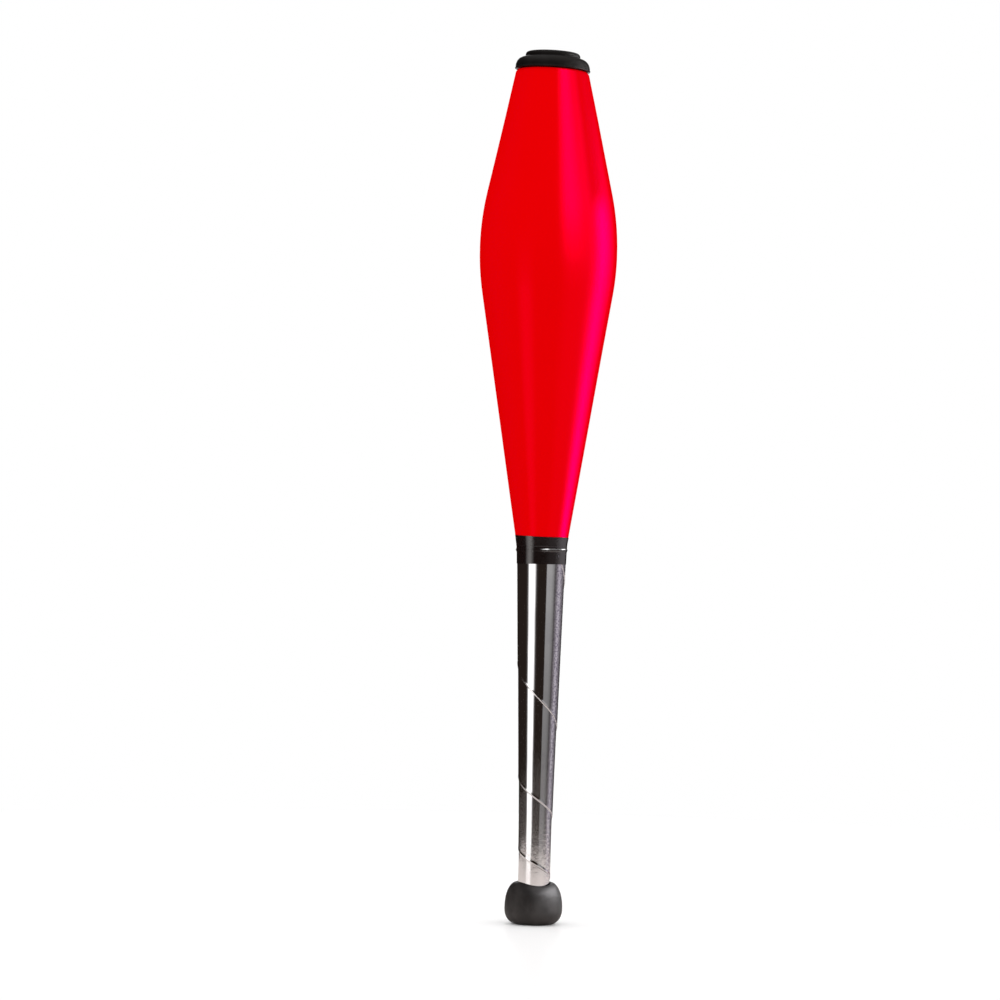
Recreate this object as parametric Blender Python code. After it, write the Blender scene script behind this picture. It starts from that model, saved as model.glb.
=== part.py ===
# A juggling club.  A hollow blown body and a tapered handle are strung on one wooden dowel,
# between a rubber knob and a rubber cap that are each pulled tight by a wood screw.  Metallic
# foil is wound round the handle, and a band of tape covers the joint at the neck.
#
# Units are metres.  The club stands on its knob: z = 0 is the knob's flat face, and +Z runs
# along the axis to the cap.  Nothing on a club moves in use, so it is one rigid assembly.

import math

import bpy
import bmesh
from mathutils import Matrix

# ---- driving dimensions ---------------------------------------------------------------------

CLUB_LENGTH = 0.520         # knob face to cap face
GAP = 0.0003                # left between pieces that touch
FILM_GAP = 0.0001           # left under foil and tape
SIDES = 40                  # facets round the large turned pieces
INNER_SIDES = 24            # facets round the dowel and the bush
SMALL_SIDES = 20            # facets round washers and tacks
MERGE_DISTANCE = 0.00001    # closes the seam of a turned piece

# Straight steps along the rounded stretches of outlines.
BELLY_STEPS = 9
KNOB_STEPS = 8
SHOULDER_STEPS = 5
EDGE_STEPS = 3

# Blown body: two cones that run tangent into the belly's arc.
BELLY_RADIUS = 0.0410
BELLY_HEIGHT = 0.4015
BELLY_ARC = 0.165
LOWER_TAPER = math.radians(9.1)
UPPER_TAPER = math.radians(12.2)
NECK_HEIGHT = 0.2240        # lower lip of the body
MOUTH_HEIGHT = 0.5090       # upper end of the body, under the cap
BODY_WALL = 0.0018
LIP_ROUND = 0.0009

# Handle, measured over one layer of foil: straight near the knob, then an even taper.
GRIP_RADIUS = 0.00925
GRIP_STRAIGHT = 0.048
GRIP_TAPER = 0.0302
FOIL_LAYER = 0.00035
FOIL_BOTTOM = 0.0120
FOIL_TOP = 0.2200
FOIL_LEAST_RADIUS = 0.0081  # radius times the sine of the winding angle, near the knob
FOIL_EASE_HEIGHT = 0.070    # above this height the product grows, by this share of the rest
FOIL_EASE = 0.004
FOIL_FRONT_HEIGHT = 0.0360  # where the strip's free edge crosses the front, nearest the knob
FOIL_TURNS_BELOW = 2        # turns started below that crossing, to be trimmed away
FOIL_ROWS = 5               # points across the strip

SLEEVE_WALL = 0.0020
SLEEVE_SEAT_TOP = 0.0450    # the sleeve grips the dowel below this height
SLEEVE_SHOULDER = NECK_HEIGHT - GAP
SPIGOT_RADIUS = 0.0125
SPIGOT_BORE = 0.0109
SPIGOT_TOP = 0.2460

TAPE_BOTTOM = 0.2145
TAPE_TOP = 0.2310
TAPE_THICKNESS = 0.0003

BUSH_BOTTOM = 0.2300
BUSH_FLANGE_RADIUS = 0.0122
BUSH_FLANGE = 0.0025

DOWEL_RADIUS = 0.0060
DOWEL_CHAMFER = 0.0006
PILOT_RADIUS = 0.0023
PILOT_DEPTH = 0.0260

KNOB_RADIUS = 0.01725
KNOB_HEIGHT = 0.0250
KNOB_FOOT_RADIUS = 0.0100
KNOB_FOOT_ROUND = 0.0090    # height of the rounding above the foot
KNOB_WIDEST = 0.0100
KNOB_RIM_RADIUS = 0.0102
SOCKET_RADIUS = 0.0099
SOCKET_FLOOR = 0.0090
KNOB_RECESS_RADIUS = 0.0065
KNOB_RECESS_DEPTH = 0.0050

CAP_RADIUS = 0.0222
CAP_BEAD = 0.0003           # the lower edge of the flange stands out by this
CAP_BEAD_HEIGHT = 0.0011
CAP_SHOULDER = 0.5165
CAP_SHOULDER_WIDE = 0.0049
CAP_SHOULDER_TALL = 0.0058
CAP_BOSS_RADIUS = 0.0163
CAP_BOSS_ROUND = 0.0018
CAP_WEB_BOTTOM = 0.5100
CAP_WEB_TOP = 0.5150
CAP_RECESS_RADIUS = 0.0080
CAP_SKIRT_RADIUS = 0.0193
CAP_SKIRT_WALL = 0.0020
CAP_SKIRT_BOTTOM = 0.4990
CAP_COLLAR_RADIUS = 0.0090
CAP_COLLAR_BOTTOM = 0.5010

WASHER_THICKNESS = 0.0010
KNOB_WASHER_RADIUS = 0.0060
CAP_WASHER_RADIUS = 0.0074

SCREW_LENGTH = 0.0280
SCREW_ROOT = 0.00145
SCREW_CREST = 0.00195
SCREW_PITCH = 0.0016
SCREW_POINT = 0.0040
SCREW_SIDES = 10
SCREW_ROWS = 4              # rings of points in each turn of the thread
HEAD_RADIUS = 0.0038
HEAD_HEIGHT = 0.0024
CROSS_LENGTH = 0.0040
CROSS_WIDTH = 0.0009
CROSS_DEPTH = 0.0013

TACK_COUNT = 3
TACK_HEIGHT = 0.2285
TACK_START = math.radians(30)
TACK_HEAD_RADIUS = 0.0018
TACK_HEAD_FACE = 0.01495    # distance of the head's outer face from the axis
TACK_HEAD_THICKNESS = 0.00035
TACK_TIP = 0.0112
TACK_SHANK_RADIUS = 0.0007
TACK_CLEARANCE = 0.0003

CUTTER_REACH = 0.0300       # how far cutters run past what they cut

# ---- materials ------------------------------------------------------------------------------

FINISHES = {
    # name: (colour, roughness, metallic)
    "red_shell": ((0.78, 0.0, 0.004), 0.30, 0.0),
    "black_rubber": ((0.022, 0.020, 0.020), 0.55, 0.0),
    "silver_foil": ((0.80, 0.80, 0.82), 0.12, 1.0),
    "black_tape": ((0.010, 0.010, 0.010), 0.22, 0.0),
    "natural_plastic": ((0.55, 0.54, 0.50), 0.45, 0.0),
    "beech": ((0.52, 0.33, 0.17), 0.60, 0.0),
    "zinc_steel": ((0.56, 0.57, 0.58), 0.32, 1.0),
}


def make_materials():
    materials = {}
    for name, (colour, roughness, metallic) in FINISHES.items():
        material = bpy.data.materials.new(name)
        material.use_nodes = True
        shader = material.node_tree.nodes["Principled BSDF"]
        shader.inputs["Base Color"].default_value = (*colour, 1.0)
        shader.inputs["Roughness"].default_value = roughness
        shader.inputs["Metallic"].default_value = metallic
        materials[name] = material
    return materials


# ---- outlines -------------------------------------------------------------------------------

def arc(centre_r, centre_z, radius_r, radius_z, start, end, count):
    """Points (r, z) on part of an ellipse, from one angle to another, in degrees."""
    points = []
    for i in range(count + 1):
        angle = math.radians(start + (end - start) * i / count)
        points.append((centre_r + radius_r * math.cos(angle), centre_z + radius_z * math.sin(angle)))
    return points


def body_radius(z, inset=0.0):
    """Radius of the body's outside at a height, or of the surface that lies inset below it."""
    arc_radius = BELLY_ARC - inset
    centre_r = BELLY_RADIUS - BELLY_ARC
    low = BELLY_HEIGHT - arc_radius * math.sin(LOWER_TAPER)
    high = BELLY_HEIGHT + arc_radius * math.sin(UPPER_TAPER)
    if z < low:
        return centre_r + arc_radius * math.cos(LOWER_TAPER) - (low - z) * math.tan(LOWER_TAPER)
    if z > high:
        return centre_r + arc_radius * math.cos(UPPER_TAPER) - (z - high) * math.tan(UPPER_TAPER)
    return centre_r + math.sqrt(arc_radius ** 2 - (z - BELLY_HEIGHT) ** 2)


def body_side(inset, count):
    """Points down one side of the body's belly: the arc, whose ends start the two cones."""
    arc_radius = BELLY_ARC - inset
    centre_r = BELLY_RADIUS - BELLY_ARC
    upper, lower = math.degrees(UPPER_TAPER), math.degrees(LOWER_TAPER)
    return arc(centre_r, BELLY_HEIGHT, arc_radius, arc_radius, upper, -lower, count)


def grip_radius(z):
    """Radius over one layer of foil."""
    return GRIP_RADIUS + GRIP_TAPER * max(0.0, z - GRIP_STRAIGHT)


def sleeve_radius(z):
    """Outside of the plastic sleeve under the foil."""
    return grip_radius(z) - FOIL_LAYER - FILM_GAP


# ---- building helpers -----------------------------------------------------------------------

def add_object(name, mesh, material):
    thing = bpy.data.objects.new(name, mesh)
    bpy.context.collection.objects.link(thing)
    if material:
        mesh.materials.append(material)
    return thing


def mesh_from(name, points, faces):
    mesh = bpy.data.meshes.new(name)
    mesh.from_pydata(points, [], faces)
    mesh.update()
    return mesh


def runs_down_outside(outline):
    """Puts a closed outline in the order that a Screw modifier turns into outward faces."""
    area = 0.0
    for (r0, z0), (r1, z1) in zip(outline, outline[1:] + outline[:1]):
        area += r0 * z1 - r1 * z0
    return outline if area < 0 else outline[::-1]


def turned(name, outline, material, sides=SIDES, hollow=True):
    """
    A piece turned once round Z by a Screw modifier.  A hollow one has a closed outline (r, z);
    a solid one has an open outline that starts and ends on the axis.
    """
    edges = [(i, i + 1) for i in range(len(outline) - 1)]
    if hollow:
        outline = runs_down_outside(outline)
        edges.append((len(outline) - 1, 0))
    mesh = bpy.data.meshes.new(name)
    mesh.from_pydata([(r, 0.0, z) for r, z in outline], edges, [])
    thing = add_object(name, mesh, material)
    screw = thing.modifiers.new("turn", "SCREW")
    screw.axis = "Z"
    screw.angle = math.tau
    screw.steps = sides
    screw.render_steps = sides
    screw.use_merge_vertices = True
    screw.merge_threshold = MERGE_DISTANCE
    screw.use_smooth_shade = True
    return thing


def cutter(thing):
    """Keeps a cutting shape out of the finished model."""
    thing.hide_render = True
    thing.display_type = "WIRE"
    return thing


def cut(thing, tool, operation="DIFFERENCE"):
    boolean = thing.modifiers.new("cut", "BOOLEAN")
    boolean.object = tool
    boolean.operation = operation
    boolean.solver = "EXACT"


def cylinder_mesh(name, radius, low, high, sides):
    """A plain closed cylinder along Z between two heights."""
    shape = bmesh.new()
    bmesh.ops.create_cone(shape, cap_ends=True, segments=sides, radius1=radius, radius2=radius,
                          depth=high - low, matrix=Matrix.Translation((0, 0, (low + high) / 2)))
    mesh = bpy.data.meshes.new(name)
    shape.to_mesh(mesh)
    shape.free()
    return mesh


# ---- the body and what is at its neck -------------------------------------------------------

def make_body_shell(material):
    """Blown shell, open at both ends, of even wall, with rounded lips."""
    inner_neck = body_radius(NECK_HEIGHT, BODY_WALL)
    outer_neck = body_radius(NECK_HEIGHT)
    inner_mouth = body_radius(MOUTH_HEIGHT, BODY_WALL)
    outer_mouth = body_radius(MOUTH_HEIGHT)
    inside = body_side(BODY_WALL, BELLY_STEPS)
    mouth_edge = MOUTH_HEIGHT - LIP_ROUND
    neck_edge = NECK_HEIGHT + LIP_ROUND
    outline = arc(outer_mouth - LIP_ROUND, mouth_edge, LIP_ROUND, LIP_ROUND, 90, 0, EDGE_STEPS)
    outline += body_side(0.0, BELLY_STEPS)
    outline += arc(outer_neck - LIP_ROUND, neck_edge, LIP_ROUND, LIP_ROUND, 0, -90, EDGE_STEPS)
    outline += [(inner_neck, NECK_HEIGHT)]
    outline += inside[::-1]
    outline += [(inner_mouth, MOUTH_HEIGHT)]
    return turned("body_shell", outline, material)


def make_neck_bush(material):
    """Flanged bush that centres the dowel in the sleeve's upper end."""
    barrel = SPIGOT_BORE - GAP
    bore = DOWEL_RADIUS + GAP
    shelf = SPIGOT_TOP + GAP
    outline = [
        (bore, BUSH_BOTTOM),
        (barrel - GAP, BUSH_BOTTOM),
        (barrel, BUSH_BOTTOM + GAP),
        (barrel, shelf),
        (BUSH_FLANGE_RADIUS, shelf),
        (BUSH_FLANGE_RADIUS, shelf + BUSH_FLANGE),
        (bore, shelf + BUSH_FLANGE),
    ]
    return turned("neck_bush", outline, material, INNER_SIDES)


def make_neck_tape(material):
    """Band of tape: snug on the foil below, over the body's lip, and up the body's cone."""
    low = grip_radius(TAPE_BOTTOM) + FOIL_LAYER + FILM_GAP
    under_lip = grip_radius(FOIL_TOP) + FOIL_LAYER + FILM_GAP
    on_lip = body_radius(NECK_HEIGHT) + FILM_GAP
    high = body_radius(TAPE_TOP) + FILM_GAP
    inner = [
        (low, TAPE_BOTTOM),
        (max(under_lip, on_lip), NECK_HEIGHT - LIP_ROUND),
        (max(under_lip, on_lip + TAPE_THICKNESS / 2), NECK_HEIGHT + LIP_ROUND),
        (high, TAPE_TOP),
    ]
    outer = [(r + TAPE_THICKNESS, z) for r, z in inner]
    return turned("neck_tape", inner + outer[::-1], material)


def tack_turn(index):
    """Lays a shape that points along Z out along a radius at the tacks' height."""
    turn = Matrix.Rotation(TACK_START + math.tau * index / TACK_COUNT, 4, "Z")
    return Matrix.Translation((0, 0, TACK_HEIGHT)) @ turn @ Matrix.Rotation(math.pi / 2, 4, "Y")


def make_neck_tack(index, material):
    """Flat-headed tack; its head lies in the body's wall and its point in the sleeve."""
    neck = TACK_HEAD_FACE - TACK_HEAD_THICKNESS
    name = f"neck_tack_{index + 1}"
    outline = [
        (0.0, TACK_HEAD_FACE),
        (TACK_HEAD_RADIUS, TACK_HEAD_FACE),
        (TACK_HEAD_RADIUS, neck),
        (TACK_SHANK_RADIUS, neck),
        (TACK_SHANK_RADIUS, TACK_TIP + TACK_SHANK_RADIUS),
        (0.0, TACK_TIP),
    ]
    shape = bmesh.new()
    corners = [shape.verts.new((r, 0.0, z)) for r, z in outline]
    edges = [shape.edges.new(pair) for pair in zip(corners, corners[1:])]
    bmesh.ops.spin(shape, geom=corners + edges, cent=(0, 0, 0), axis=(0, 0, 1),
                   angle=math.tau, steps=SMALL_SIDES, use_merge=True)
    bmesh.ops.remove_doubles(shape, verts=shape.verts, dist=MERGE_DISTANCE)
    bmesh.ops.recalc_face_normals(shape, faces=shape.faces)
    mesh = bpy.data.meshes.new(name)
    shape.to_mesh(mesh)
    shape.free()
    tack = add_object(name, mesh, material)
    tack.matrix_world = tack_turn(index)
    return tack


def cut_tack_holes(shell, sleeve):
    """A seat for each tack's head in the shell, and one hole through shell and sleeve."""
    seat_floor = TACK_HEAD_FACE - TACK_HEAD_THICKNESS - TACK_CLEARANCE
    seat_mesh = cylinder_mesh("tack_seat", TACK_HEAD_RADIUS + TACK_CLEARANCE, seat_floor,
                              CUTTER_REACH, SMALL_SIDES)
    hole_mesh = cylinder_mesh("tack_hole", TACK_SHANK_RADIUS + TACK_CLEARANCE,
                              (SPIGOT_BORE + DOWEL_RADIUS) / 2, CUTTER_REACH, SMALL_SIDES)
    for index in range(TACK_COUNT):
        seat = cutter(add_object(f"cutter_tack_seat_{index + 1}", seat_mesh, None))
        hole = cutter(add_object(f"cutter_tack_hole_{index + 1}", hole_mesh, None))
        seat.matrix_world = tack_turn(index)
        hole.matrix_world = tack_turn(index)
        cut(shell, seat)
        cut(shell, hole)
        cut(sleeve, hole)


# ---- the handle -----------------------------------------------------------------------------

def make_core_dowel(material):
    """Wooden dowel with a pilot hole in each end."""
    low = SOCKET_FLOOR + GAP
    high = CAP_WEB_BOTTOM - GAP
    chamfered = DOWEL_RADIUS - DOWEL_CHAMFER
    outline = [
        (0.0, high - PILOT_DEPTH),
        (PILOT_RADIUS, high - PILOT_DEPTH),
        (PILOT_RADIUS, high),
        (chamfered, high),
        (DOWEL_RADIUS, high - DOWEL_CHAMFER),
        (DOWEL_RADIUS, low + DOWEL_CHAMFER),
        (chamfered, low),
        (PILOT_RADIUS, low),
        (PILOT_RADIUS, low + PILOT_DEPTH),
        (0.0, low + PILOT_DEPTH),
    ]
    return turned("core_dowel", outline, material, INNER_SIDES, hollow=False)


def make_handle_sleeve(material):
    """Tapered tube: seated on the dowel below, with a spigot that plugs into the neck."""
    low = SOCKET_FLOOR + GAP
    seat = DOWEL_RADIUS + GAP
    relief = SLEEVE_SEAT_TOP + SLEEVE_WALL
    taper_top = SLEEVE_SHOULDER - 3 * SLEEVE_WALL
    outline = [
        (seat, low),
        (sleeve_radius(low), low),
        (sleeve_radius(GRIP_STRAIGHT), GRIP_STRAIGHT),
        (sleeve_radius(SLEEVE_SHOULDER), SLEEVE_SHOULDER),
        (SPIGOT_RADIUS, SLEEVE_SHOULDER),
        (SPIGOT_RADIUS, SPIGOT_TOP - LIP_ROUND),
        (SPIGOT_RADIUS - LIP_ROUND, SPIGOT_TOP),
        (SPIGOT_BORE, SPIGOT_TOP),
        (SPIGOT_BORE, taper_top + SLEEVE_WALL),
        (sleeve_radius(taper_top) - SLEEVE_WALL, taper_top),
        (sleeve_radius(relief) - SLEEVE_WALL, relief),
        (seat, SLEEVE_SEAT_TOP),
    ]
    return turned("handle_sleeve", outline, material)


def foil_edge_heights():
    """
    Heights of the strip's free edge, one for each facet of the handle.

    A flat strip laid on a cone without creases follows a geodesic, on which the radius times
    the sine of the winding angle stays the same.  Its rise per radian is
    r * sqrt(r^2 - least^2) / least, which grows as the handle widens.  Higher up this strip
    eases a little away from that line.
    """
    def rise(z):
        r = grip_radius(z)
        least = FOIL_LEAST_RADIUS + FOIL_EASE * max(0.0, z - FOIL_EASE_HEIGHT)
        return r * math.sqrt(r * r - least * least) / least

    step = math.tau / SIDES
    z = FOIL_FRONT_HEIGHT - FOIL_TURNS_BELOW * math.tau * rise(GRIP_STRAIGHT)
    heights = [z]
    while len(heights) <= SIDES or heights[-SIDES - 1] < FOIL_TOP:
        middle = z + rise(z) * step / 2
        z += rise(middle) * step
        heights.append(z)
    return heights


def make_foil_wrap(material):
    """
    Foil wound as a left-hand helix.  Each turn leans on the turn nearer the knob, so the
    outside stands up by one layer at the strip's free edge and sinks evenly from there to the
    next edge.  The turns are stuck to each other, so they are one solid, trimmed to length and
    bored for the sleeve.
    """
    heights = foil_edge_heights()
    columns = len(heights) - SIDES
    rows = FOIL_ROWS
    points = []
    for i in range(columns):
        edge, next_edge = heights[i], heights[i + SIDES]
        angle = -math.pi / 2 - math.tau * i / SIDES
        for j in range(rows):
            share = j / (rows - 1)
            z = edge + share * (next_edge - edge)
            r = grip_radius(z) + FOIL_LAYER * (1 - share)
            points.append((r * math.cos(angle), r * math.sin(angle), z))

    faces = []
    for i in range(columns - 1):
        for j in range(rows - 1):
            a = i * rows + j
            faces.append((a, a + 1, a + rows + 1, a + rows))
        if i + SIDES < columns - 1:
            low = i * rows + rows - 1
            high = (i + SIDES) * rows
            faces.append((low, high, high + rows, low + rows))

    bottom_ring = [i * rows for i in range(SIDES + 1)] + list(range(rows - 1, 0, -1))
    last = columns - 1
    top_ring = [i * rows + rows - 1 for i in range(last - SIDES, last + 1)]
    top_ring += [last * rows + j for j in range(rows - 2, -1, -1)]
    for ring, z in ((bottom_ring, heights[0] - CUTTER_REACH), (top_ring, heights[-1] + CUTTER_REACH)):
        tip = len(points)
        points.append((0.0, 0.0, z))
        faces += [(a, b, tip) for a, b in zip(ring, ring[1:] + ring[:1])]

    shape = bmesh.new()
    shape.from_mesh(mesh_from("foil_rough", points, faces))
    bmesh.ops.triangulate(shape, faces=shape.faces)
    bmesh.ops.recalc_face_normals(shape, faces=shape.faces)
    mesh = bpy.data.meshes.new("foil_wrap")
    shape.to_mesh(mesh)
    shape.free()
    foil = add_object("foil_wrap", mesh, material)

    def bore(z):
        return grip_radius(z) - FOIL_LAYER

    outline = [
        (bore(FOIL_BOTTOM), FOIL_BOTTOM),
        (CUTTER_REACH, FOIL_BOTTOM),
        (CUTTER_REACH, FOIL_TOP),
        (bore(FOIL_TOP), FOIL_TOP),
        (bore(GRIP_STRAIGHT), GRIP_STRAIGHT),
    ]
    cut(foil, cutter(turned("cutter_foil_trim", outline, None)), "INTERSECT")
    return foil


# ---- the two ends ---------------------------------------------------------------------------

def make_knob(material):
    """Rubber knob: flat foot, full sides, soft shoulder, socket above and screw recess below."""
    foot_drop = KNOB_RADIUS - KNOB_FOOT_RADIUS
    shoulder = KNOB_RADIUS - KNOB_RIM_RADIUS
    rise = KNOB_HEIGHT - KNOB_WIDEST
    outline = arc(KNOB_RIM_RADIUS, KNOB_WIDEST, shoulder, rise, 90, 0, KNOB_STEPS)
    outline += arc(KNOB_FOOT_RADIUS, KNOB_FOOT_ROUND, foot_drop, KNOB_FOOT_ROUND, 0, -90, KNOB_STEPS)
    outline += [
        (KNOB_RECESS_RADIUS, 0.0),
        (KNOB_RECESS_RADIUS, KNOB_RECESS_DEPTH),
        (PILOT_RADIUS, KNOB_RECESS_DEPTH),
        (PILOT_RADIUS, SOCKET_FLOOR),
        (SOCKET_RADIUS, SOCKET_FLOOR),
        (SOCKET_RADIUS, KNOB_HEIGHT),
    ]
    return turned("knob", outline, material)


def make_top_cap(material):
    """Rubber cap: boss and flange outside, a skirt in the body's mouth, a collar on the dowel."""
    skirt_inside = CAP_SKIRT_RADIUS - CAP_SKIRT_WALL
    collar_bore = DOWEL_RADIUS + GAP
    flange_bottom = MOUTH_HEIGHT + GAP
    bead_top = flange_bottom + CAP_BEAD_HEIGHT
    boss = arc(CAP_BOSS_RADIUS - CAP_BOSS_ROUND, CLUB_LENGTH - CAP_BOSS_ROUND,
               CAP_BOSS_ROUND, CAP_BOSS_ROUND, 90, 0, EDGE_STEPS)
    shoulder = arc(CAP_RADIUS - CAP_SHOULDER_WIDE, CAP_SHOULDER - CAP_SHOULDER_TALL,
                   CAP_SHOULDER_WIDE, CAP_SHOULDER_TALL, 90, 0, SHOULDER_STEPS)
    outline = boss + [(CAP_BOSS_RADIUS, CAP_SHOULDER)] + shoulder
    outline += [
        (CAP_RADIUS, bead_top),
        (CAP_RADIUS + CAP_BEAD, bead_top - CAP_BEAD),
        (CAP_RADIUS + CAP_BEAD, flange_bottom + CAP_BEAD),
        (CAP_RADIUS, flange_bottom),
        (CAP_SKIRT_RADIUS, flange_bottom),
        (CAP_SKIRT_RADIUS, CAP_SKIRT_BOTTOM),
        (skirt_inside, CAP_SKIRT_BOTTOM),
        (skirt_inside, CAP_WEB_BOTTOM),
        (CAP_COLLAR_RADIUS, CAP_WEB_BOTTOM),
        (CAP_COLLAR_RADIUS, CAP_COLLAR_BOTTOM),
        (collar_bore, CAP_COLLAR_BOTTOM),
        (collar_bore, CAP_WEB_BOTTOM),
        (PILOT_RADIUS, CAP_WEB_BOTTOM),
        (PILOT_RADIUS, CAP_WEB_TOP),
        (CAP_RECESS_RADIUS, CAP_WEB_TOP),
        (CAP_RECESS_RADIUS, CLUB_LENGTH),
    ]
    return turned("top_cap", outline, material)


def make_washer(name, radius, low, material):
    outline = [
        (PILOT_RADIUS, low),
        (radius, low),
        (radius, low + WASHER_THICKNESS),
        (PILOT_RADIUS, low + WASHER_THICKNESS),
    ]
    return turned(name, outline, material, SMALL_SIDES)


def screw_rings():
    """Rings (radius, depth of thread, z) of a wood screw, from its point down to its head."""
    threaded = SCREW_LENGTH - SCREW_POINT
    count = round(threaded / SCREW_PITCH) * SCREW_ROWS
    rings = []
    for k in range(count + 1):
        z = threaded * (1 - k / count)
        rings.append((SCREW_ROOT, SCREW_CREST - SCREW_ROOT, z))
    rings[-1] = (SCREW_ROOT, 0.0, 0.0)
    rings.append((HEAD_RADIUS, 0.0, 0.0))
    half = HEAD_HEIGHT / 2
    for r, z in arc(HEAD_RADIUS - half, -half, half, half, 0, -90, EDGE_STEPS):
        rings.append((r, 0.0, z))
    return rings


def make_screw(name, material):
    """
    Pan-headed wood screw with its point at +Z and the underside of its head at z = 0.  Its
    thread is a ridge whose phase turns with the angle and runs on with the height.
    """
    rings = screw_rings()
    points = [(0.0, 0.0, SCREW_LENGTH)]
    for radius, depth, z in rings:
        for i in range(SCREW_SIDES):
            angle = math.tau * i / SCREW_SIDES
            ridge = 0.5 + 0.5 * math.cos(angle - math.tau * z / SCREW_PITCH)
            r = radius + depth * ridge
            points.append((r * math.cos(angle), r * math.sin(angle), z))
    points.append((0.0, 0.0, -HEAD_HEIGHT))

    faces = []
    for i in range(SCREW_SIDES):
        j = (i + 1) % SCREW_SIDES
        faces.append((0, 1 + i, 1 + j))
        for k in range(len(rings) - 1):
            upper, lower = 1 + k * SCREW_SIDES, 1 + (k + 1) * SCREW_SIDES
            faces.append((upper + i, lower + i, lower + j, upper + j))
        last = 1 + (len(rings) - 1) * SCREW_SIDES
        faces.append((len(points) - 1, last + j, last + i))
    screw = add_object(name, mesh_from(name, points, faces), material)

    for arm, size in enumerate(((CROSS_LENGTH, CROSS_WIDTH), (CROSS_WIDTH, CROSS_LENGTH))):
        shape = bmesh.new()
        bmesh.ops.create_cube(shape, size=1.0)
        bmesh.ops.scale(shape, vec=(*size, 2 * CROSS_DEPTH), verts=shape.verts)
        bmesh.ops.translate(shape, vec=(0, 0, -HEAD_HEIGHT), verts=shape.verts)
        mesh = bpy.data.meshes.new(f"{name}_cross")
        shape.to_mesh(mesh)
        shape.free()
        tool = cutter(add_object(f"cutter_{name}_{arm + 1}", mesh, None))
        tool.parent = screw
        cut(screw, tool)
    return screw


def make_end_screws(material):
    """One screw up into the dowel through the knob, and one down into it through the cap."""
    knob_screw = make_screw("knob_screw", material)
    knob_screw.location.z = KNOB_RECESS_DEPTH - WASHER_THICKNESS - 2 * GAP
    cap_screw = make_screw("cap_screw", material)
    cap_screw.rotation_euler.x = math.pi
    cap_screw.location.z = CAP_WEB_TOP + WASHER_THICKNESS + 2 * GAP


# ---- assembly -------------------------------------------------------------------------------

def main():
    for thing in list(bpy.data.objects):
        bpy.data.objects.remove(thing)
    finish = make_materials()

    shell = make_body_shell(finish["red_shell"])
    sleeve = make_handle_sleeve(finish["natural_plastic"])
    make_core_dowel(finish["beech"])
    make_neck_bush(finish["natural_plastic"])
    make_foil_wrap(finish["silver_foil"])
    make_neck_tape(finish["black_tape"])
    for index in range(TACK_COUNT):
        make_neck_tack(index, finish["zinc_steel"])
    cut_tack_holes(shell, sleeve)

    make_knob(finish["black_rubber"])
    make_top_cap(finish["black_rubber"])
    knob_washer_low = KNOB_RECESS_DEPTH - GAP - WASHER_THICKNESS
    make_washer("knob_washer", KNOB_WASHER_RADIUS, knob_washer_low, finish["zinc_steel"])
    make_washer("cap_washer", CAP_WASHER_RADIUS, CAP_WEB_TOP + GAP, finish["zinc_steel"])
    make_end_screws(finish["zinc_steel"])


main()
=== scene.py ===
import math

import bmesh
import bpy
import numpy as np
from mathutils import Matrix, Vector


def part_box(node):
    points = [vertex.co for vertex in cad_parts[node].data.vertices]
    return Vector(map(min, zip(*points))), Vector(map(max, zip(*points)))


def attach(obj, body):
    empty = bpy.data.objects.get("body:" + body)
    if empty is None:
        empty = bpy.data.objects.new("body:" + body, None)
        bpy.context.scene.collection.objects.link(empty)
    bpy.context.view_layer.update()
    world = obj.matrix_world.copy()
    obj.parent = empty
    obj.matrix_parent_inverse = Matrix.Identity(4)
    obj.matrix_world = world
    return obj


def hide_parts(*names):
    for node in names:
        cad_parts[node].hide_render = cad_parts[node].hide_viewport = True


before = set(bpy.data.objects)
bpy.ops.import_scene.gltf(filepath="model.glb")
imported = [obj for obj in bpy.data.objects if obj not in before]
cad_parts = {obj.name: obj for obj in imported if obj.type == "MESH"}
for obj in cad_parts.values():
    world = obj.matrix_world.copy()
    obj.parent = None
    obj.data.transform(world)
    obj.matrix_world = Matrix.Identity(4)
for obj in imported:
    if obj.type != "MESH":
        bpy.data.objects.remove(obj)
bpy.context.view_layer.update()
print("frame loaded with", len(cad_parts), "nodes")

fullTurn = 2 * math.pi

# heights and radii that the frame gives
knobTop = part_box("knob")[1].z
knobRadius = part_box("knob")[1].x
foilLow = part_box("foil_wrap")[0].z
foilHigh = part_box("foil_wrap")[1].z
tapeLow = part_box("neck_tape")[0].z
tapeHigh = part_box("neck_tape")[1].z
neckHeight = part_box("body_shell")[0].z
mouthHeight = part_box("body_shell")[1].z
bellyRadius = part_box("body_shell")[1].x
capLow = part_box("top_cap")[0].z
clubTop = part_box("top_cap")[1].z
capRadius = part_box("top_cap")[1].x


def arcPoints(centreR, centreZ, radiusR, radiusZ, startDegrees, endDegrees, count):
    # points (r, z) of an ellipse: its centre plus its radii times the cosine and sine of the angle
    angle = np.radians(np.linspace(startDegrees, endDegrees, count))
    return np.column_stack([centreR + radiusR * np.cos(angle), centreZ + radiusZ * np.sin(angle)])


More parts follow.
